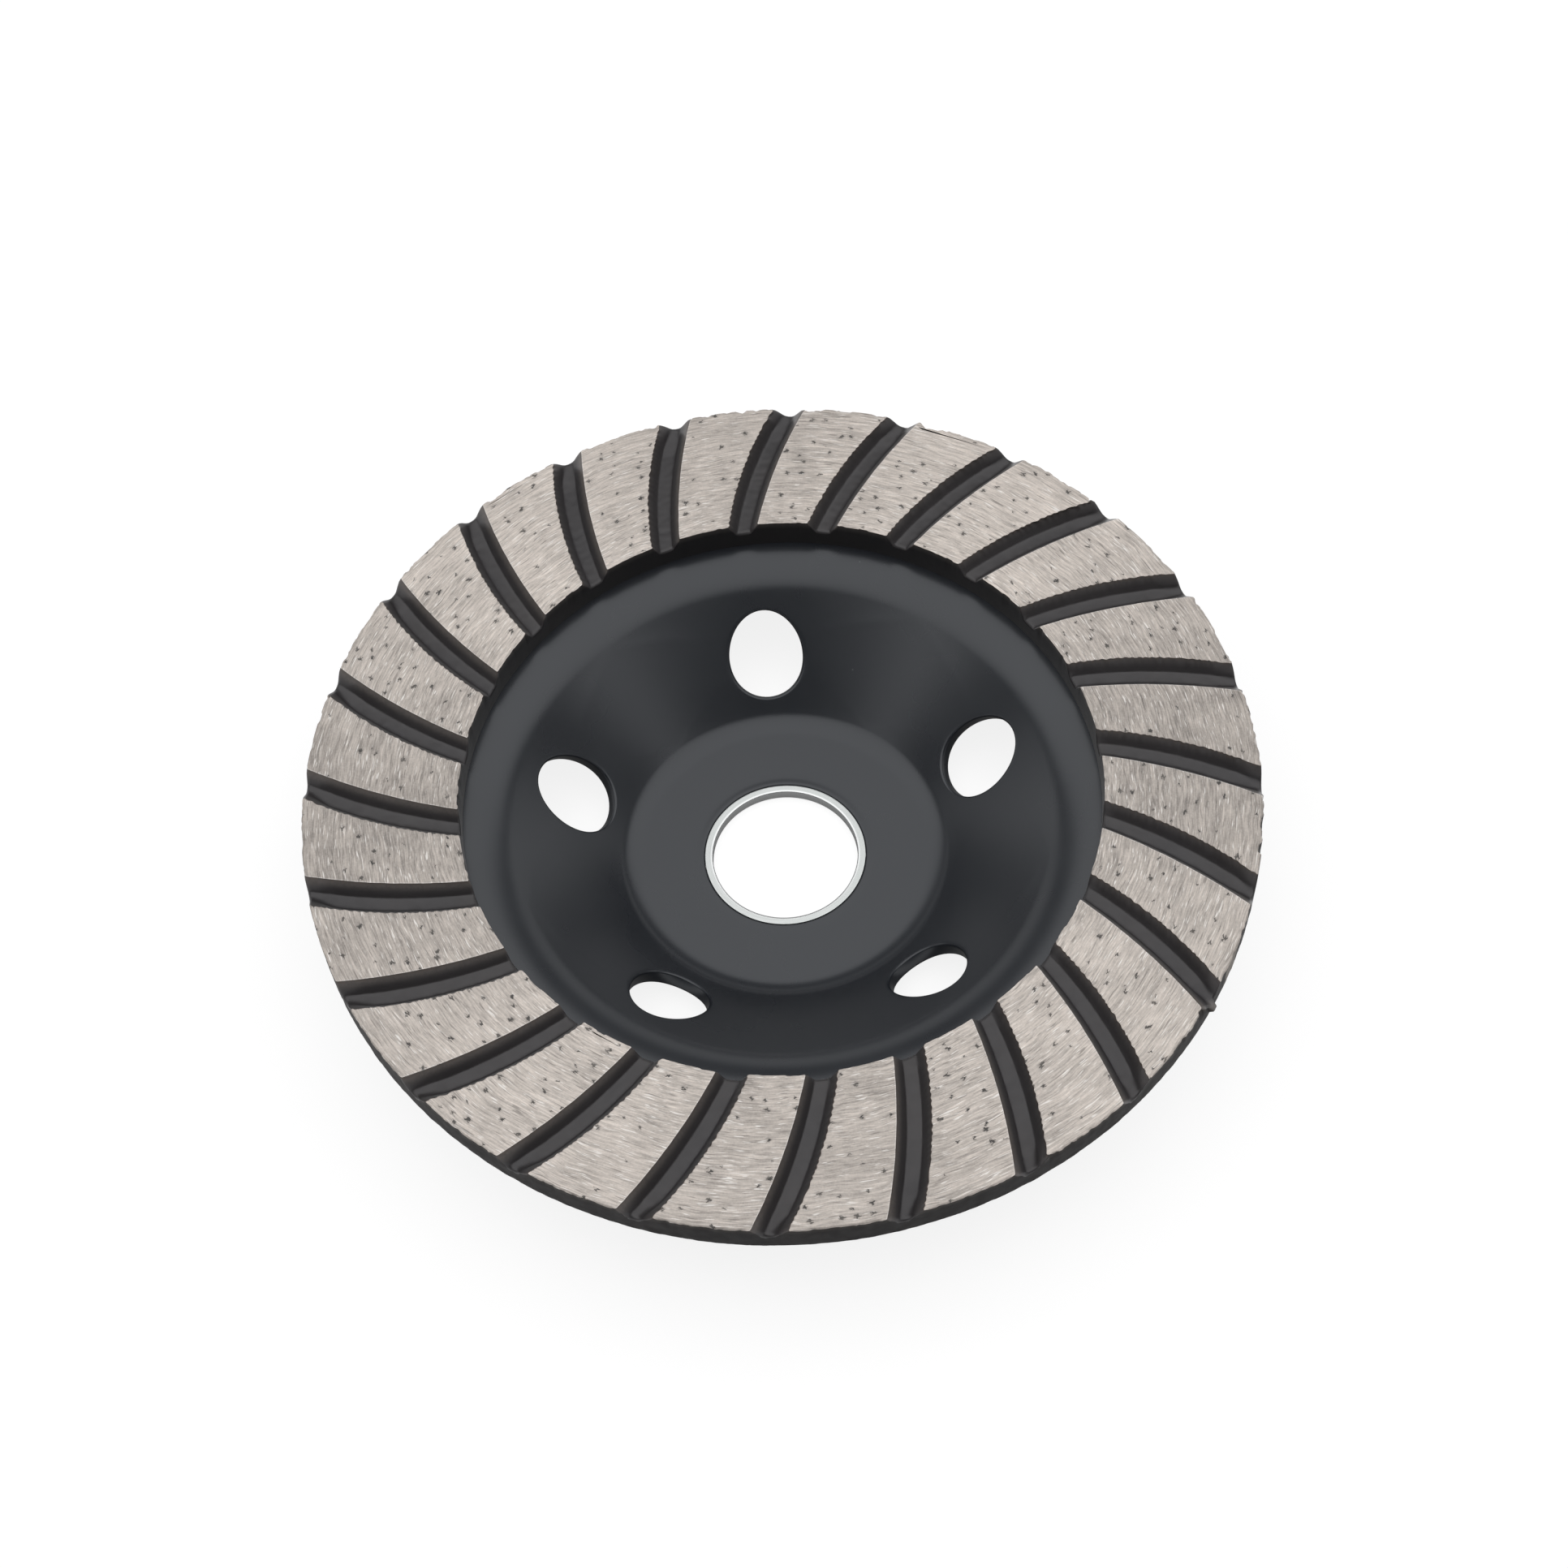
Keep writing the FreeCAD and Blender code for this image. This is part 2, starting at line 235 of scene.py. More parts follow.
def lathe(patches, section, azimuths):
    """Turn a half section of (radius, height) points about the axis."""
    radius, height = np.array(section).T
    patches.grid(polar(radius[:, None], azimuths[None, :], height[:, None]), closed=True)


# The cup: a lathe form whose cone has a patch of its own round each vent.

ROUND_STEPS = 240
SECTOR = 360.0 / VENT_COUNT
SECTOR_STEPS = ROUND_STEPS // VENT_COUNT
SIDE_STEPS = 16
LIP_STEPS = 5
# Where the rings of points round a vent lie, from its patch's border at 1 to its lip at 0.
VENT_SPREAD = (1.0, 0.72, 0.5, 0.33, 0.2, 0.1, 0.04)
SLOPE_SIN, SLOPE_COS = math.sin(CONE_SLOPE), math.cos(CONE_SLOPE)
SLOPE_DEGREES = math.degrees(CONE_SLOPE)
HUB_BEND_CENTRE = (HUB_CORNER - HUB_BEND * math.tan(CONE_SLOPE / 2), SHEET + HUB_BEND)
SHOULDER_BEND_CENTRE = (SHOULDER_CORNER + SHOULDER_BEND * math.tan(CONE_SLOPE / 2),
                        FLANGE_TOP - SHOULDER_BEND)


def cone_point(along, depth):
    """Radius and height on the cone: along its slope from the vents' centre, and into it."""
    radius = VENT_CENTRE + along * SLOPE_COS + depth * SLOPE_SIN
    height = SHEET + (VENT_CENTRE - HUB_CORNER) * math.tan(CONE_SLOPE)
    return radius, height + along * SLOPE_SIN - depth * SLOPE_COS


def cone_ends(depth):
    """Where the cone's face at a depth runs into its two bends, along its slope."""
    low = HUB_BEND_CENTRE[0] + (HUB_BEND + depth) * SLOPE_SIN
    high = SHOULDER_BEND_CENTRE[0] - (SHOULDER_BEND - depth) * SLOPE_SIN
    middle = VENT_CENTRE + depth * SLOPE_SIN
    return (low - middle) / SLOPE_COS, (high - middle) / SLOPE_COS


def sector_border(depth):
    """Border of one vent's patch as azimuth from the vent's middle and slope place."""
    low, high = cone_ends(depth)
    half = SECTOR / 2
    around = np.linspace(-half, half, SECTOR_STEPS + 1)
    up = np.linspace(low, high, SIDE_STEPS + 1)
    azimuth = np.concatenate([around[:-1], np.full(SIDE_STEPS, half), around[:0:-1],
                              np.full(SIDE_STEPS, -half)])
    along = np.concatenate([np.full(SECTOR_STEPS, low), up[:-1], np.full(SECTOR_STEPS, high),
                            up[:0:-1]])
    return azimuth, along


def vent_ring(turn, grow, depth):
    """One ring of points round a vent, grown outwards in the cone and sunk into it."""
    across = (VENT_HALF_WIDE + grow) * np.cos(turn)
    along = (VENT_HALF_LONG + grow) * np.sin(turn)
    radius, height = cone_point(along, depth)
    return np.degrees(np.arcsin(across / radius)), along


def half_patch(turn, border, face_depth, sign):
    """Rings of one face of a vent's patch, from the border to the middle of the lip."""
    border_azimuth, border_along = border
    inner_azimuth, inner_along = vent_ring(turn, VENT_EDGE, face_depth)
    rings = []
    for share in VENT_SPREAD:
        azimuth = inner_azimuth + share * (border_azimuth - inner_azimuth)
        along = inner_along + share * (border_along - inner_along)
        rings.append((azimuth, along, face_depth))
    for angle in np.linspace(0, math.pi / 2, LIP_STEPS):
        depth = face_depth + sign * VENT_EDGE * (1 - math.cos(angle))
        rings.append(vent_ring(turn, VENT_EDGE * (1 - math.sin(angle)), depth) + (depth,))
    return rings


def vent_patch(patches, middle):
    """The cone round one vent: its front, the vent's rounded wall and its back."""
    front_border, back_border = sector_border(0.0), sector_border(SHEET)
    width = np.radians(front_border[0]) * VENT_CENTRE
    turn = np.unwrap(np.arctan2(front_border[1] / VENT_HALF_LONG, width / VENT_HALF_WIDE))
    rings = half_patch(turn, front_border, 0.0, 1.0)
    rings += half_patch(turn, back_border, SHEET, -1.0)[::-1]
    points = []
    for azimuth, along, depth in rings:
        radius, height = cone_point(along, depth)
        points.append(polar(radius, middle + azimuth, height))
    patches.grid(np.array(points), closed=True)


def hub_section():
    """Half section of the hub: its front from the bend inwards, the bore and its back."""
    edge = BORE_EDGE
    bend = (-90 + SLOPE_DEGREES, -90)
    return (
        arc_points(HUB_BEND_CENTRE, HUB_BEND, *bend, 14)
        + [(r * MM, SHEET) for r in (19.0, 17.0, 15.0, 13.0, 12.5)]
        + [(r * MM, SHEET + share * BURR) for r, share in BURR_RINGS]
        + arc_points((HUB_BORE + edge, SHEET + BURR - edge), edge, 90, 180, 6)
        + [(HUB_BORE, SHEET / 2)]
        + arc_points((HUB_BORE + edge, edge), edge, 180, 270, 6)
        + [(r * MM, 0.0) for r in (12.0, 13.0, 15.0, 17.0, 19.0)]
        + arc_points(HUB_BEND_CENTRE, HUB_BEND + SHEET, *bend[::-1], 14))


def flange_section():
    """Half section of the flange: its front from the bend outwards, the rim and its back."""
    edge = FLANGE_EDGE
    bottom = FLANGE_TOP - SHEET
    bend = (90 + SLOPE_DEGREES, 90)
    return (
        arc_points(SHOULDER_BEND_CENTRE, SHOULDER_BEND, *bend, 24)
        + [(r * MM, FLANGE_TOP) for r in (43.5, 50.0, 56.0, 60.0)]
        + arc_points((FLANGE_RADIUS - edge, FLANGE_TOP - edge), edge, 90, 0, 6)
        + arc_points((FLANGE_RADIUS - edge, bottom + edge), edge, 0, -90, 6)
        + [(r * MM, bottom) for r in (60.0, 56.0, 50.0, 45.0)]
        + arc_points(SHOULDER_BEND_CENTRE, SHOULDER_BEND - SHEET, *bend[::-1], 20))


def make_cup(paint):
    azimuths = FIRST_VENT - SECTOR / 2 + np.arange(ROUND_STEPS) * 360.0 / ROUND_STEPS
    patches = Patches()
    lathe(patches, hub_section(), azimuths)
    lathe(patches, flange_section(), azimuths)
    for number in range(VENT_COUNT):
        vent_patch(patches, FIRST_VENT + number * SECTOR)
    return patches.build("pressed_cup", [paint])


# The abrasive ring: pads between curved grooves, with the face's wear and chips.

FACE_SLOT, PAINT_SLOT = 0, 1
# Rows of points along a groove or a pad, with the places of those at each end.
RADIAL_STEPS = 96
END_SHARES = np.array([0, 0.002, 0.005, 0.009, 0.015, 0.023])
END_ROWS = len(END_SHARES)
MIDDLE_SHARES = (0.033, 0.967)
# Columns across a pad: even ones between two strips, whose columns have these distances from
# the lip. The fade tells how strongly a lip's wear shows on each column of a strip.
PAD_STEPS = 34
PAD_STRIP = np.array([0.0, 0.07, 0.14, 0.4]) * MM
STRIP_FADE = np.array([1.0, 0.8, 0.0, 0.0])
# Columns across a groove, from -1 at its smooth lip to 1 at its wavy lip.
GROOVE_HALF = np.array([1.0, 0.985, 0.95, 0.84, 0.68, 0.54, 0.47, 0.42, 0.36, 0.2])
GROOVE_ACROSS = np.concatenate([-GROOVE_HALF, [0.0], GROOVE_HALF[::-1]])
# Rows down the ring's two walls, from its face at 0 to the flange at 1.
OUTER_ROWS = np.array([0, 0.02, 0.06, 0.12, 0.22, 0.36, 0.52, 0.68, 0.83, 0.94, 1.0])
INNER_ROWS = np.array([0, 0.03, 0.09, 0.2, 0.4, 0.7, 1.0])
OUTER_LUMPS, INNER_LUMPS = 0.06 * MM, 0.012 * MM
WALL_SETTLE = 1.2 * MM

# Wear. A row of chips has the cells and the seed of its noise, the two values between which
# a chip sets in, and its depth. The outer edge is worn most at one azimuth.
LIP_WEAR = 0.025 * MM
RIM_WEAR, RIM_WEAR_WIDTH = 0.16 * MM, 0.3 * MM
OUTER_CHIPS = (
    (2.1 * MM, 3, 0.12, 0.3, 0.2 * MM),
    (0.8 * MM, 4, 0.0, 0.35, 0.16 * MM),
    (3.1 * MM, 7, 0.36, 0.5, 0.35 * MM))
INNER_CHIPS = ((1.6 * MM, 5, 0.2, 0.4, 0.12 * MM),)
OUTER_BITE, INNER_BITE = 0.02 * MM, 0.03 * MM
WORN_SIDE = 50.0
# The wavy lip's waves, their length and height, and the pads' rounded corners at the bore
# and at the rim, on the side of each lip.
WAVE_LENGTH, WAVE_HEIGHT = 0.95 * MM, 0.07 * MM
WAVY_CORNERS = (0.22 * MM, 0.3 * MM)
SMOOTH_CORNERS = (0.18 * MM, 0.2 * MM)
CORNER_FREE = 0.5 * MM


def lip_azimuth(lip, radius):
    """Azimuth in degrees at which a lip's arc has a given radius from the wheel's axis."""
    centre, azimuth, arc = lip
    cosine = (radius ** 2 + centre ** 2 - arc ** 2) / (2 * radius * centre)
    return azimuth + np.degrees(np.arccos(cosine))


def degrees_of(length, radius):
    return np.degrees(length / radius)


def chip_depth(place, rows):
    return sum(smooth_step(rough(place, cell, seed), low, high) * depth
               for cell, seed, low, high, depth in rows)


def outer_bite(azimuth):
    """How far the face's outer edge is worn back from the ring's full radius."""
    chips = chip_depth(polar(RING_RADIUS, azimuth, 0.0), OUTER_CHIPS)
    wear = 0.7 + 0.3 * np.cos(np.radians(azimuth - WORN_SIDE))
    return OUTER_BITE + wear * chips


def inner_bite(azimuth):
    """How far the face's inner edge is worn back from the ring's bore."""
    place = polar(RING_BORE, azimuth, 0.0)
    uneven = 0.04 * MM * (1 + rough(place, 0.7 * MM, 6))
    return INNER_BITE + chip_depth(place, INNER_CHIPS) + uneven


def corner_retreat(share, length, inner, outer):
    """A pad's rounded corners: how far its side draws back near its two ends."""
    retreat = np.zeros_like(share)
    for distance, corner in ((share * length, inner), ((1 - share) * length, outer)):
        reach = np.clip(1 - distance / corner, 0, 1)
        retreat += corner * (1 - np.sqrt(1 - reach ** 2))
    return retreat


def wavy_shift(place, radius, number):
    """How far a wavy lip strays from its arc, at each of its points."""
    length = WAVE_LENGTH * (1 + 0.12 * rough(place, 4.0 * MM, 8 + number))
    wave = WAVE_HEIGHT * np.sin(2 * math.pi * (radius - RING_BORE) / length + 2.4 * number)
    return wave + 0.09 * MM * rough(place, 0.9 * MM, 9)


def lip_curve(lip, number, share, wavy):
    """Azimuth and radius along one lip of a groove, and how far it strays from its arc."""
    turn = number * PITCH
    ends = lip_azimuth(lip, np.array([RING_BORE, RING_RADIUS])) + turn
    inner = RING_BORE + inner_bite(ends[:1])[0]
    outer = RING_RADIUS - outer_bite(ends[1:])[0]
    radius = inner + share * (outer - inner)
    azimuth = lip_azimuth(lip, radius) + turn
    place = polar(radius, azimuth, 0.0)
    if wavy:
        retreat = corner_retreat(share, outer - inner, *WAVY_CORNERS)
        shift = wavy_shift(place, radius, number) + retreat
    else:
        retreat = corner_retreat(share, outer - inner, *SMOOTH_CORNERS)
        shift = 0.035 * MM * rough(place, 1.5 * MM, 10) - retreat
    offset = degrees_of(shift, radius)
    return azimuth + offset, radius, offset


def radial_shares():
    """Places along a groove, closer together at its ends."""
    middle = np.linspace(*MIDDLE_SHARES, RADIAL_STEPS - 2 * END_ROWS)
    return np.concatenate([END_SHARES, middle, 1 - END_SHARES[::-1]])


def groove_trough(across, share):
    """Depth across a groove, from 1 on its flat floor to 0 at its lips, as a share.

    Towards the rim the walls lean back, so that the floor narrows there.
    """
    trough = np.ones_like(across * share)
    flare = smooth_step(share, 0.84, 1.0)
    for distance, wall in ((1 + across, SMOOTH_WALL), (1 - across, WAVY_WALL)):
        width, wider, corner = wall
        climb = distance / (width + wider * flare)
        trough = trough * climb / (1 + climb ** corner) ** (1 / corner)
    return trough


def outlet_drop(distance):
    """How far a groove's floor is rounded down at a distance from one of its open ends."""
    reach = np.clip(1 - distance / OUTLET_ROUNDING, 0, 1)
    return 0.9 * OUTLET_ROUNDING * (1 - np.sqrt(1 - reach ** 2))


def groove_points(number):
    """A groove's surface, in rows from the bore to the rim and from lip to lip."""
    share = radial_shares()
    smooth_azimuth, smooth_radius, smooth_offset = lip_curve(SMOOTH_LIP, number, share, False)
    wavy_azimuth, wavy_radius, wavy_offset = lip_curve(WAVY_LIP, number, share, True)
    across = GROOVE_ACROSS[None, :]
    mix = (across + 1) / 2
    inside = 1 - smooth_step(np.abs(across), 0.7, 1.0)
    left = smooth_azimuth[:, None] - inside * smooth_offset[:, None]
    right = wavy_azimuth[:, None] - inside * wavy_offset[:, None]
    azimuth = left * (1 - mix) + right * mix
    lip_radius = smooth_radius[:, None] * (1 - mix) + wavy_radius[:, None] * mix
    open_radius = RING_BORE + share[:, None] * (RING_RADIUS - RING_BORE)
    near_lip = smooth_step(np.abs(across), 0.9, 1.0)
    radius = open_radius * (1 - near_lip) + lip_radius * near_lip

    full = np.interp(share, DEPTH_PLACES, GROOVE_DEPTHS)[:, None]
    drop = LIP_DROP * (1 - smooth_step(np.abs(across), 0.985, 1.0))
    trough = groove_trough(across, share[:, None])
    depth = drop + (full - LIP_DROP) * trough
    open_share = np.minimum(1, 1.2 * trough)
    for distance in (RING_RADIUS - radius, radius - RING_BORE):
        depth = depth + open_share * outlet_drop(distance)
    floor = polar(radius, azimuth, FACE - depth)
    sunk = smooth_step(1 - np.abs(across), 0.0, 0.1)
    floor[..., 2] += GROOVE_LUMPS * sunk * rough(floor, 0.9 * MM, 12)
    return floor


def pad_columns(left, right, radius):
    """Places across a pad from lip to lip: close together at the lips, even between them."""
    width = np.radians(right - left) * radius
    strip = PAD_STRIP[None, :] / width[:, None]
    even = np.linspace(0, 1, PAD_STEPS + 1)[None, 1:-1]
    last = strip[:, -1:]
    return np.concatenate([strip, last + even * (1 - 2 * last), 1 - strip[:, ::-1]], axis=1), width


def pad_points(number):
    """The face of the pad after a groove, in rows from the bore to the rim."""
    share = radial_shares()
    left_azimuth, left_radius, _ = lip_curve(WAVY_LIP, number, share, True)
    right_azimuth, right_radius, _ = lip_curve(SMOOTH_LIP, number + 1, share, False)
    step, width = pad_columns(left_azimuth, right_azimuth, left_radius)
    azimuth = left_azimuth[:, None] + step * (right_azimuth - left_azimuth)[:, None]
    near_corner = np.minimum(step, 1 - step) * width[:, None]
    free = smooth_step(near_corner, 0.0, CORNER_FREE)
    straight = left_radius[:, None] + step * (right_radius - left_radius)[:, None]
    outer = straight[-1] + free[-1] * (RING_RADIUS - outer_bite(azimuth[-1]) - straight[-1])
    inner = straight[0] + free[0] * (RING_BORE + inner_bite(azimuth[0]) - straight[0])
    radius = inner + share[:, None] * (outer - inner)

    edge = np.zeros(step.shape)
    edge[:, [0, -1]] = edge[[0, -1], :] = 1.0
    drop = LIP_WEAR * edge
    from_rim = outer - radius
    drop += RIM_WEAR * free[-1] * np.clip(1 - from_rim / RIM_WEAR_WIDTH, 0, 1) ** 2
    return polar(radius, azimuth, FACE - drop)


def pad_patch(patches, number):
    """Add the face of one pad: fine grids at its four sides and a coarse one between them.

    Gives back its outer and its inner border.
    """
    points = pad_points(number)
    sides = len(PAD_STRIP)
    wavy, smooth, across = (np.zeros(points.shape[1]) for _ in range(3))
    wavy[:sides], smooth[-sides:] = STRIP_FADE, STRIP_FADE[::-1]
    across[0], across[-1] = 1.0, -1.0
    marks = np.stack([wavy, smooth, across])

    def add(rows, columns):
        wavy_edge, smooth_edge, side = marks[:, columns]
        patches.grid(points[rows][:, columns], FACE_SLOT, wavy_edge=wavy_edge,
                     smooth_edge=smooth_edge, across=side)

    all_columns = slice(None)
    between_ends = slice(END_ROWS - 1, 1 - END_ROWS)
    add(slice(0, END_ROWS), all_columns)
    add(slice(-END_ROWS, None), all_columns)
    add(between_ends, slice(0, sides))
    add(between_ends, slice(-sides, None))
    add(slice(END_ROWS, -END_ROWS), [sides - 1, -sides])
    middle = slice(sides - 1, 1 - sides)
    for fine, coarse in ((END_ROWS - 1, END_ROWS), (-END_ROWS, -END_ROWS - 1)):
        ends = points[coarse, [-sides, sides - 1]]
        patches.polygon(np.concatenate([points[fine, middle], ends]), FACE_SLOT)
    return points[-1], points[0]


def wall_grid(top, full_radius, rows, lumps, seed):
    """A wall of the ring under its top border: rows from the border down to the flange.

    Its lumps are a height that is positive on the outer wall and negative in the bore.
    """
    azimuth = np.degrees(np.arctan2(top[:, 1], top[:, 0]))
    edge = np.hypot(top[:, 0], top[:, 1])
    height = top[None, :, 2] + rows[:, None] * (RING_BASE - top[None, :, 2])
    sunk = top[None, :, 2] - height
    place = polar(full_radius, azimuth[None, :], height)
    uneven = lumps * (rough(place, 1.3 * MM, seed) - 0.6)
    uneven = uneven + 0.5 * lumps * rough(place, 0.5 * MM, seed + 1)
    settle = 1 - np.exp(-(sunk / WALL_SETTLE) ** 1.5)
    radius = edge[None, :] + settle * (full_radius + uneven - edge[None, :])
    return polar(radius, azimuth[None, :], height)


def drip_share(points):
    """How far each point belongs to the drop of paint, from 0 to 1."""
    centre = polar(RING_RADIUS, DRIP_AZIMUTH, FACE - DRIP_DEPTH)
    return 1 - smooth_step(np.linalg.norm(points - centre, axis=-1), *DRIP_REACH)


def draw_out_drip(points):
    """The same points, with those of the drop moved outwards."""
    outwards = polar(DRIP_SIZE, DRIP_AZIMUTH, 0.0)
    return points + drip_share(points)[:, None] * outwards


def bare_share(wall):
    """Where the outer wall's paint is gone or grey, from 0 to 1, at each of its points."""
    azimuth = np.degrees(np.arctan2(wall[..., 1], wall[..., 0]))
    ragged = azimuth + 1.3 * rough(wall, 1.4 * MM, 22)
    begun, ended = (smooth_step(ragged, edge, edge + BARE_FADE) for edge in BARE_RIM)
    return np.maximum(begun * (1 - ended), DRIP_GREY * drip_share(wall))


def make_ring(face, paint):
    patches = Patches(("across", "smooth_edge", "wavy_edge", "outside", "bare"))
    outer_top, inner_top = [], []
    for number in range(GROOVES):
        floor = groove_points(number)
        floor[:, [0, -1], 2] -= LIP_WEAR
        patches.grid(floor, PAINT_SLOT, across=GROOVE_ACROSS[None, :],
                     bare=DRIP_GREY * drip_share(floor))
        outer_top.append(floor[-1, :-1])
        inner_top.append(floor[0, :-1])
        outer, inner = pad_patch(patches, number)
        outer_top.append(outer[:-1])
        inner_top.append(inner[:-1])
    outer_top, inner_top = np.concatenate(outer_top), np.concatenate(inner_top)
    outer_wall = wall_grid(outer_top, RING_RADIUS, OUTER_ROWS, OUTER_LUMPS, 20)
    inner_wall = wall_grid(inner_top, RING_BORE, INNER_ROWS, -INNER_LUMPS, 30)
    patches.grid(outer_wall, PAINT_SLOT, closed=True, outside=1.0, bare=bare_share(outer_wall))
    patches.grid(inner_wall, PAINT_SLOT, closed=True)
    patches.grid(np.stack([outer_wall[-1], inner_wall[-1]]), PAINT_SLOT, closed=True)
    patches.points = [draw_out_drip(points) for points in patches.points]
    return patches.build("abrasive_ring_worn", [face, paint], sharp=30.0)


def make_bush(steel):
    inner, outer = BUSH_BORE, bush_high.x
    low, high = bush_low.z, bush_high.z
    bevel, soft = BUSH_BEVEL, BUSH_EDGE
    section = (
        arc_points((outer - soft, high - soft), soft, 0, 90, 4)
        + [(r * MM, high) for r in (10.85, 10.6, 10.35)]
        + [(inner + bevel, high), (inner + bevel * 0.6, high - bevel * 0.25),
           (inner + bevel * 0.2, high - bevel * 0.7), (inner, high - bevel * 1.2)]
        + [(inner, (low + high) / 2), (inner, low + bevel), (inner + bevel, low)]
        + [(outer - bevel, low), (outer, low + bevel)])
    azimuths = np.arange(ROUND_STEPS) * 360.0 / ROUND_STEPS
    patches = Patches()
    lathe(patches, section + section[:1], azimuths)
    return patches.build("bright_reducing_ring", [steel])


# Materials. Colours are linear red, green and blue.

FACE_COLOUR = (0.43, 0.390, 0.357)
FACE_TONE = 1.165
# The bright scratch colour is a painted highlight: glints where the scratches catch the light.
SCRATCH_GLINT_PAINT, DARK_SCRATCH = (0.86, 0.83, 0.80), (0.19, 0.17, 0.155)
PIT_EDGE = (0.25, 0.23, 0.215)
# The pit colours are painted shade: the dark inside of small pits.
DARK_PIT_SHADE, PALE_PIT_SHADE = (0.05, 0.05, 0.05), (0.14, 0.13, 0.12)
BRIGHT_LIP, WORN_LIP = (0.78, 0.76, 0.74), (0.20, 0.17, 0.15)
CUP_PAINT = ((0.0060, 0.0075, 0.0108), (0.0076, 0.0093, 0.0128))
CUP_SPECK = (0.09, 0.095, 0.095)
RING_PAINT = ((0.0145, 0.0135, 0.0145), (0.0185, 0.0165, 0.0165))
OUTER_WALL_PAINT = (0.04, 0.037, 0.036)
GROOVE_SIDE_PAINT = (0.036, 0.033, 0.034)
# A paler colour for the upper part of the grooves.
PALE_TOP_PAINT = (0.12, 0.106, 0.097)
THIN_PAINT = (0.085, 0.062, 0.048)
BARE_METAL = (0.42, 0.385, 0.35)
BUSH_STEEL = ((0.41, 0.425, 0.42), (0.53, 0.545, 0.54))
BUSH_CLOUD = (0.45, 0.475, 0.465)
# The bevel colour is polished steel with a painted highlight; the bore colour is a painted
# reflection.
BUSH_BEVEL_HIGHLIGHT_STEEL, BUSH_BORE_REFLECTION_STEEL = (0.66, 0.67, 0.67), (0.74, 0.75, 0.75)


class Nodes:
    """Short calls for building one material's node tree."""

    def __init__(self, name):
        self.material = bpy.data.materials.new(name)
        self.material.use_nodes = True
        self.tree = self.material.node_tree
        self.tree.nodes.clear()
        self.place = 0

    def add(self, kind, **settings):
        node = self.tree.nodes.new(kind)
        self.place += 1
        node.location = (180 * (self.place % 12), -220 * (self.place // 12))
        for name, value in settings.items():
            setattr(node, name, value)
        return node

    def feed(self, socket, value):
        if isinstance(value, bpy.types.NodeSocket):
            self.tree.links.new(value, socket)
        else:
            socket.default_value = value

    def math(self, operation, *values, clamp=False):
        node = self.add("ShaderNodeMath", operation=operation, use_clamp=clamp)
        for socket, value in zip(node.inputs, values):
            self.feed(socket, value)
        return node.outputs[0]

    def span(self, value, low, high, to_low=0.0, to_high=1.0, smooth=True):
        """Map a value from one range to another, held at its ends."""
        kind = "SMOOTHSTEP" if smooth else "LINEAR"
        node = self.add("ShaderNodeMapRange", interpolation_type=kind)
        for socket, item in zip(node.inputs, (value, low, high, to_low, to_high)):
            self.feed(socket, item)
        return node.outputs[0]

    def mix(self, factor, first, second, blend="MIX"):
        node = self.add("ShaderNodeMix", data_type="RGBA", blend_type=blend)
        self.feed(node.inputs[0], factor)
        for socket, colour in ((node.inputs[6], first), (node.inputs[7], second)):
            self.feed(socket, colour if isinstance(colour, bpy.types.NodeSocket)
                      else (*colour, 1.0))
        return node.outputs[2]

    def noise(self, vector, scale, detail=2.0, roughness=0.5):
        node = self.add("ShaderNodeTexNoise")
        self.feed(node.inputs["Vector"], vector)
        node.inputs["Scale"].default_value = scale
        node.inputs["Detail"].default_value = detail
        node.inputs["Roughness"].default_value = roughness
        return node.outputs[0]

    def cells(self, vector, scale, **settings):
        node = self.add("ShaderNodeTexVoronoi", **settings)
        self.feed(node.inputs["Vector"], vector)
        node.inputs["Scale"].default_value = scale
        return node

    def split(self, vector):
        node = self.add("ShaderNodeSeparateXYZ")
        self.feed(node.inputs[0], vector)
        return node.outputs

    def join(self, x, y, z):
        node = self.add("ShaderNodeCombineXYZ")
        for socket, value in zip(node.inputs, (x, y, z)):
            self.feed(socket, value)
        return node.outputs[0]

    def vector_math(self, operation, *values):
        node = self.add("ShaderNodeVectorMath", operation=operation)
        for socket, value in zip(node.inputs, values):
            self.feed(socket, value)
        return node.outputs[0]

    def attribute(self, name):
        return self.add("ShaderNodeAttribute", attribute_name=name).outputs["Fac"]

    def here(self):
        return self.add("ShaderNodeTexCoord").outputs["Object"]

    def bump(self, height, distance, strength=1.0, normal=None):
        node = self.add("ShaderNodeBump")
        node.inputs["Strength"].default_value = strength
        node.inputs["Distance"].default_value = distance
        self.feed(node.inputs["Height"], height)
        if normal is not None:
            self.feed(node.inputs["Normal"], normal)
        return node.outputs[0]

    def surface(self, **values):
        shader = self.add("ShaderNodeBsdfPrincipled")
        for name, value in values.items():
            self.feed(shader.inputs[name.replace("_", " ")], value)
        output = self.add("ShaderNodeOutputMaterial")
        self.feed(output.inputs["Surface"], shader.outputs[0])
        return self.material

    def round_place(self, here):
        """The direction from the wheel's axis, as x and y of length 1, and the radius."""
        x, y, z = self.split(here)
        flat = self.join(x, y, 0.0)
        radius = self.add("ShaderNodeVectorMath", operation="LENGTH")
        self.feed(radius.inputs[0], flat)
        length = radius.outputs["Value"]
        return self.math("DIVIDE", x, length), self.math("DIVIDE", y, length), length

    def scratches(self, place, around, across, seed, detail=2.0):
        """Noise drawn out round the axis: cells per radian and cells per metre."""
        x, y, radius = place
        vector = self.join(self.math("MULTIPLY", x, around), self.math("MULTIPLY", y, around),
                           self.math("MULTIPLY_ADD", radius, across, seed))
        return self.noise(vector, 1.0, detail, 0.55)


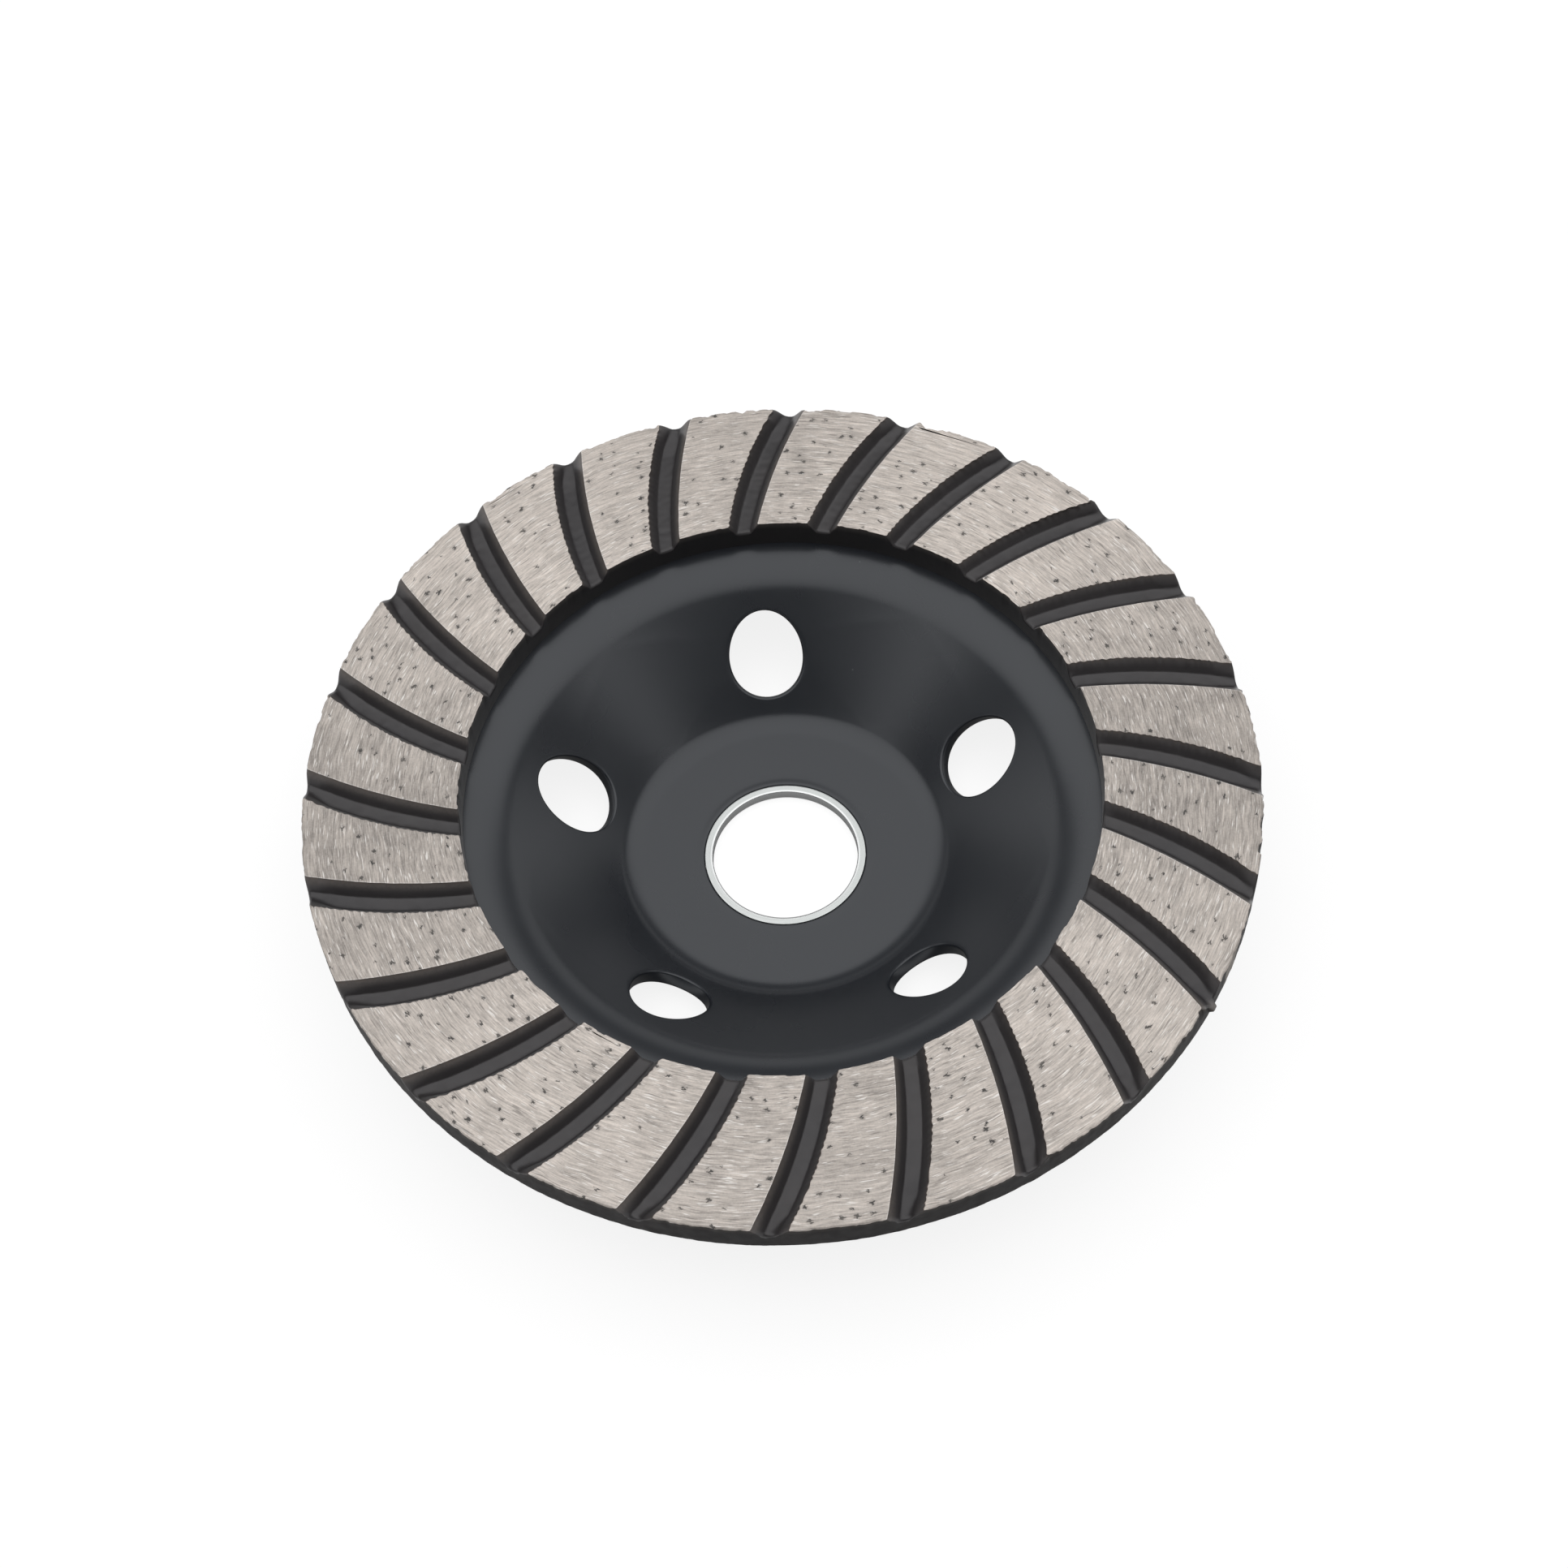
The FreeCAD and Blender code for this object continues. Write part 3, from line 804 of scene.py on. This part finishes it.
def ground_tone_and_painted_sheen(m, x, y, layers):
    """Brightness of the ground face: layers of noise, and a slow change round the wheel that is a
    painted sheen.
    """
    tone = FACE_TONE - sum(gain for _, gain in layers) / 2
    for layer, gain in layers:
        tone = m.math("MULTIPLY_ADD", layer, gain, tone)
    # Painted sheen: brightest at the four diagonals, darkest at left and right, a little brighter
    # at the back than at the front, standing in for the light caught by the circular scratches.
    twice = m.math("SUBTRACT", m.math("MULTIPLY", x, x), m.math("MULTIPLY", y, y))
    around = m.math("MULTIPLY_ADD", y, 0.045, 0.14)
    around = m.math("MULTIPLY_ADD", twice, -0.101, around)
    around = m.math("MULTIPLY_ADD", m.math("MULTIPLY", twice, twice), -0.28, around)
    return m.math("ADD", tone, around)


def torn_pits(m, here, x, y, drag):
    """Small pits drawn out round the axis: the pit, the scuffed metal round it, its tint."""
    warp = m.add("ShaderNodeTexNoise")
    m.feed(warp.inputs["Vector"], here)
    warp.inputs["Scale"].default_value = 3200.0
    shifted = m.vector_math("MULTIPLY_ADD", warp.outputs["Color"], (0.0007, 0.0007, 0.0), here)
    length = m.math("MULTIPLY_ADD", drag, 1.6 * MM, -0.8 * MM)
    along = m.join(m.math("MULTIPLY", y, m.math("MULTIPLY", length, -1.0)),
                   m.math("MULTIPLY", x, length), 0.0)
    shifted = m.vector_math("ADD", shifted, along)
    cells = m.cells(shifted, 520.0, voronoi_dimensions="2D", distance="MANHATTAN")
    chance, size, tint = m.split(cells.outputs["Color"])
    reach = m.span(size, 0.0, 1.0, 0.08, 0.2, smooth=False)
    closeness = m.math("DIVIDE", cells.outputs["Distance"], reach)
    chosen = m.math("LESS_THAN", chance, 0.36)
    pit = m.math("MULTIPLY", chosen, m.span(closeness, 1.2, 0.8))
    scuffed = m.math("MULTIPLY", chosen, m.span(closeness, 2.5, 1.0))
    return pit, scuffed, tint


def lip_colours(m, colour, fine, grain):
    """The colour with one lip of each pad rubbed bright and the other one worn dark."""
    bright = m.math("MULTIPLY", m.attribute("smooth_edge"), m.span(fine, 0.3, 0.6, 0.4, 1.0))
    colour = m.mix(m.math("MULTIPLY", bright, 0.55), colour, BRIGHT_LIP)
    worn = m.math("MULTIPLY", m.attribute("wavy_edge"), m.span(grain, 0.35, 0.65))
    return m.mix(m.math("MULTIPLY", worn, 0.5), colour, WORN_LIP)


def abrasive_material():
    """Ground sintered metal bond: scratches round the axis with painted glints, torn pits darkened
    with painted shade, bright lips, and a painted sheen that changes round the wheel.
    """
    m = Nodes("ground_abrasive")
    here = m.here()
    x, y, radius = m.round_place(here)
    drift = m.noise(here, 170.0, 1.0)
    place = (x, y, m.math("MULTIPLY_ADD", drift, 1.0 * MM, radius))
    fine = m.scratches(place, 21.0, 5200.0, 0.0)
    medium = m.scratches(place, 9.0, 2200.0, 40.0)
    broad = m.noise(here, 190.0, 3.0)
    glint = m.scratches(place, 27.0, 5600.0, 90.0, 1.0)
    gouge = m.scratches(place, 20.0, 5200.0, 140.0, 1.0)
    grain = m.noise(here, 4200.0, 2.0, 0.6)

    # The tone holds random noise and the painted sheen round the wheel.
    tone = ground_tone_and_painted_sheen(m, x, y, ((fine, 1.4), (medium, 0.9), (broad, 0.6), (grain, 0.5)))
    colour = m.mix(1.0, FACE_COLOUR, tone, "MULTIPLY")
    # Painted highlight: glints along the scratches.
    colour = m.mix(m.span(glint, 0.62, 0.72, 0.0, 0.75), colour, SCRATCH_GLINT_PAINT)
    colour = m.mix(m.span(gouge, 0.62, 0.72, 0.0, 0.6), colour, DARK_SCRATCH)
    pit, scuffed, tint = torn_pits(m, here, x, y, fine)
    colour = m.mix(m.math("MULTIPLY", scuffed, 0.32), colour, PIT_EDGE)
    # Painted shade: the pits are darkened, from dark to pale by their tint, as the shade inside
    # them.
    pit_shade_colour = m.mix(tint, DARK_PIT_SHADE, PALE_PIT_SHADE)
    colour = m.mix(m.math("MULTIPLY", pit, 0.88), colour, pit_shade_colour)
    colour = lip_colours(m, colour, fine, grain)

    height = m.math("ADD", m.math("MULTIPLY", fine, 0.6), m.math("MULTIPLY", medium, 0.4))
    height = m.math("SUBTRACT", height, m.math("MULTIPLY", pit, 1.6))
    tangent = m.add("ShaderNodeTangent", direction_type="RADIAL", axis="Z")
    roughness = m.span(medium, 0.3, 0.7, 0.5, 0.62)
    roughness = m.math("ADD", roughness, m.math("MULTIPLY", pit, 0.3))
    return m.surface(Base_Color=colour, Metallic=0.35, Roughness=roughness, Anisotropic=0.55,
                     Normal=m.bump(height, 0.02 * MM, 0.5), Tangent=tangent.outputs[0])


def cup_paint_material():
    """Satin black paint on pressed steel, with a faint orange peel."""
    m = Nodes("satin_black_paint")
    here = m.here()
    peel = m.noise(here, 900.0, 2.0, 0.4)
    cloud = m.noise(here, 70.0, 3.0, 0.5)
    speck_cells = m.cells(here, 420.0)
    chance = m.split(speck_cells.outputs["Color"])[0]
    speck = m.math("MULTIPLY", m.math("LESS_THAN", chance, 0.05),
                   m.span(speck_cells.outputs["Distance"], 0.07, 0.03))
    colour = m.mix(m.span(cloud, 0.3, 0.7), *CUP_PAINT)
    colour = m.mix(m.math("MULTIPLY", speck, 0.5), colour, CUP_SPECK)
    height = m.math("ADD", peel, m.math("MULTIPLY", speck, 2.0))
    return m.surface(Base_Color=colour, Roughness=m.span(cloud, 0.25, 0.75, 0.265, 0.3),
                     Specular_IOR_Level=0.635, Specular_Tint=(0.94, 0.965, 1.0, 1.0),
                     Normal=m.bump(height, 0.006 * MM, 0.4))


def ring_paint_material():
    """Black paint on sintered metal: grainy, paler near the face and most on the smooth lip's side,
    thin and brown at the lips.
    """
    m = Nodes("paint_on_sintered_metal")
    here = m.here()
    grain = m.noise(here, 2200.0, 3.0, 0.55)
    lumps = m.noise(here, 620.0, 2.0, 0.5)
    cloud = m.noise(here, 110.0, 2.0, 0.5)
    across = m.attribute("across")
    side = m.math("ABSOLUTE", across)
    outside = m.attribute("outside")
    colour = m.mix(m.span(cloud, 0.3, 0.7), *RING_PAINT)
    colour = m.mix(m.math("MULTIPLY", outside, 0.3), colour, OUTER_WALL_PAINT)
    colour = m.mix(m.span(side, 0.35, 0.6, 0.0, 0.7), colour, GROOVE_SIDE_PAINT)
    # The grooves' paint is paler near the face, most on the smooth lip's side.
    top = m.span(m.split(here)[2], FACE - 1.3 * MM, FACE - 0.15 * MM)
    pale_top = m.math("MULTIPLY", top, m.span(across, 0.2, -0.2, 0.24, 0.9))
    pale_top = m.math("MULTIPLY", pale_top, m.span(grain, 0.25, 0.65, 0.65, 1.0))
    colour = m.mix(pale_top, colour, PALE_TOP_PAINT)
    thin = m.math("MULTIPLY", m.span(side, 0.86, 1.0), m.span(grain, 0.3, 0.62))
    colour = m.mix(m.math("MULTIPLY", thin, 0.6), colour, THIN_PAINT)
    bare = m.math("MULTIPLY", m.attribute("bare"), m.span(lumps, 0.2, 0.5, 0.8, 1.0))
    colour = m.mix(bare, colour, BARE_METAL)
    height = m.math("ADD", m.math("MULTIPLY", grain, 0.5), lumps)
    height = m.math("MULTIPLY", height, m.math("MULTIPLY_ADD", outside, 0.75, 0.25))
    roughness = m.math("MULTIPLY_ADD", outside, 0.25, m.span(lumps, 0.3, 0.7, 0.33, 0.41))
    gloss = m.math("MULTIPLY_ADD", outside, -0.4, 0.56)
    dust = m.math("MULTIPLY_ADD", outside, -0.2, 0.2)
    return m.surface(Base_Color=colour, Roughness=roughness, Specular_IOR_Level=gloss,
                     Specular_Tint=(0.97, 0.95, 0.97, 1.0),
                     Sheen_Weight=dust, Sheen_Roughness=0.35,
                     Normal=m.bump(height, 0.03 * MM, 0.45))


def bush_material():
    """Bright turned steel with fine turning lines; its polished bevel is lighter, partly as a
    painted highlight, and its bore is lighter as a painted reflection.
    """
    m = Nodes("turned_steel")
    here = m.here()
    place = m.round_place(here)
    lines = m.scratches(place, 3.0, 9000.0, 0.0)
    soft = m.noise(here, 300.0, 2.0)
    colour = m.mix(m.span(lines, 0.3, 0.7), *BUSH_STEEL)
    colour = m.mix(m.span(soft, 0.35, 0.7, 0.0, 0.35), colour, BUSH_CLOUD)
    # The bevel is polished steel, made lighter still as a painted highlight.
    bevel = m.span(place[2], BUSH_BORE + 0.4 * MM, BUSH_BORE + 0.2 * MM)
    colour = m.mix(bevel, colour, BUSH_BEVEL_HIGHLIGHT_STEEL)
    # Painted reflection: the bore is lighter, standing in for the floor it reflects.
    bore = m.span(place[2], BUSH_BORE + 0.06 * MM, BUSH_BORE)
    colour = m.mix(bore, colour, BUSH_BORE_REFLECTION_STEEL)
    tangent = m.add("ShaderNodeTangent", direction_type="RADIAL", axis="Z")
    return m.surface(Base_Color=colour, Metallic=1.0, Roughness=m.span(lines, 0.3, 0.7, 0.24, 0.36),
                     Anisotropic=0.4, Normal=m.bump(lines, 0.004 * MM, 0.3),
                     Tangent=tangent.outputs[0])


# Floor, lights and camera.

FLOOR_RADIUS = 1.4
FLOOR_CURVE = 1.1
FLOOR_CENTRE = 1.0 * MM
FLOOR_STEPS = 96
FLOOR_GLOW = 0.85
FLOOR_COLOUR = 0.2
# How much of the floor's reflection is left under the wheel, and the radii between which
# it comes back.
UNDER_WHEEL = 0.11
UNDER_WHEEL_REACH = (0.8 * FLANGE_RADIUS, 1.3 * FLANGE_RADIUS)
WHEEL_MIDDLE = (0.0, 0.0, 0.01)
# Softboxes: name, centre, target, width, depth and brightness, where 1 is white.
SOFTBOXES = (
    ("softbox_above", (0.0, 0.13, 1.0), (0.0, 0.13, 0.0), 2.6, 1.58, 1.5),
    ("softbox_left", (-1.3, 0.75, 0.35), WHEEL_MIDDLE, 0.9, 0.6, 0.3),
    ("softbox_right", (1.3, 0.75, 0.35), WHEEL_MIDDLE, 0.9, 0.6, 0.3),
    ("softbox_back", (0.0, 1.64, 1.15), WHEEL_MIDDLE, 3.0, 0.9, 0.2))
WORLD_LIGHT = 0.09


def floor_material():
    """Pale floor that shows white to the camera and in reflections, and keeps a shadow.

    Reflections of the floor right under the wheel are darker, as it is in shadow there.
    """
    m = Nodes("pale_floor")
    rays = m.add("ShaderNodeLightPath").outputs
    radius = m.round_place(m.here())[2]
    clear = m.span(radius, *UNDER_WHEEL_REACH, UNDER_WHEEL, 1.0)
    reflected = m.math("ADD", rays["Is Glossy Ray"], rays["Is Transmission Ray"])
    seen = m.math("MULTIPLY_ADD", reflected, clear, rays["Is Camera Ray"], clamp=True)
    glow = m.add("ShaderNodeEmission")
    m.feed(glow.inputs["Strength"], m.math("MULTIPLY", seen, FLOOR_GLOW))
    matt = m.add("ShaderNodeBsdfDiffuse")
    matt.inputs["Color"].default_value = (FLOOR_COLOUR,) * 3 + (1.0,)
    both = m.add("ShaderNodeAddShader")
    m.feed(both.inputs[0], glow.outputs[0])
    m.feed(both.inputs[1], matt.outputs[0])
    output = m.add("ShaderNodeOutputMaterial")
    m.feed(output.inputs["Surface"], both.outputs[0])
    return m.material


def make_floor():
    """A round floor that curves up into a wall far from the wheel."""
    section = [(FLOOR_CENTRE, 0.0), (FLOOR_RADIUS, 0.0)]
    section += arc_points((FLOOR_RADIUS, FLOOR_CURVE), FLOOR_CURVE, -90, 0, 24)
    azimuths = np.arange(FLOOR_STEPS) * 360.0 / FLOOR_STEPS
    patches = Patches()
    lathe(patches, section, azimuths)
    patches.polygon(polar(FLOOR_CENTRE, azimuths, 0.0))
    floor = patches.build("floor", [floor_material()])
    floor.location.z = cad_box[0][2] - 0.02 * MM
    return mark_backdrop(floor)


def add_softbox(name, centre, target, width, depth, radiance):
    """A rectangular lamp of an even brightness that faces its target."""
    lamp = bpy.data.lights.new(name, "AREA")
    lamp.shape = "RECTANGLE"
    lamp.size, lamp.size_y = width, depth
    lamp.energy = radiance * math.pi * width * depth
    item = bpy.data.objects.new(name, lamp)
    item.location = centre
    aim = Vector(target) - Vector(centre)
    item.rotation_euler = aim.to_track_quat("-Z", "Y").to_euler()
    bpy.context.scene.collection.objects.link(item)


def add_lights():
    for softbox in SOFTBOXES:
        add_softbox(*softbox)
    world = bpy.data.worlds.new("studio")
    world.use_nodes = True
    back = world.node_tree.nodes["Background"]
    back.inputs["Color"].default_value = (1.0, 1.0, 1.0, 1.0)
    back.inputs["Strength"].default_value = WORLD_LIGHT
    bpy.context.scene.world = world


def camera_axes():
    """The camera's right, up and back directions in the photograph's own frame."""
    elevation = math.radians(CAMERA_ELEVATION)
    back = Vector((0, -math.cos(elevation), math.sin(elevation)))
    right = Vector((1, 0, 0))
    level = Matrix((right, back.cross(right), back))
    roll = Matrix.Rotation(math.radians(CAMERA_ROLL), 3, "Z")
    sideways = Matrix.Rotation(CAMERA_AIM[0], 3, "Y")
    upwards = Matrix.Rotation(CAMERA_AIM[1], 3, "X")
    return (roll @ sideways @ upwards @ level).transposed(), back


def add_camera():
    data = bpy.data.cameras.new("camera")
    data.sensor_width = CAMERA_SENSOR
    data.lens = PHOTO_FOCAL / PHOTO_WIDTH * CAMERA_SENSOR
    data.clip_start, data.clip_end = 0.01, 20.0
    camera = bpy.data.objects.new("camera", data)
    axes, back = camera_axes()
    turn = Matrix.Rotation(math.radians(PHOTO_TURN), 4, "Z")
    place = turn @ Matrix.Translation(back * CAMERA_DISTANCE) @ axes.to_4x4()
    camera.matrix_world = Matrix.Translation((0, 0, FACE)) @ place
    bpy.context.scene.collection.objects.link(camera)
    bpy.context.scene.camera = camera


def place_piece(piece, node):
    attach(piece, "root")
    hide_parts(node)


def main():
    place_piece(make_cup(cup_paint_material()), "cup_body")
    place_piece(make_ring(abrasive_material(), ring_paint_material()), "abrasive_ring")
    place_piece(make_bush(bush_material()), "reducing_ring")
    make_floor()
    add_lights()
    add_camera()
    bpy.context.scene.view_settings.view_transform = "Standard"


main()
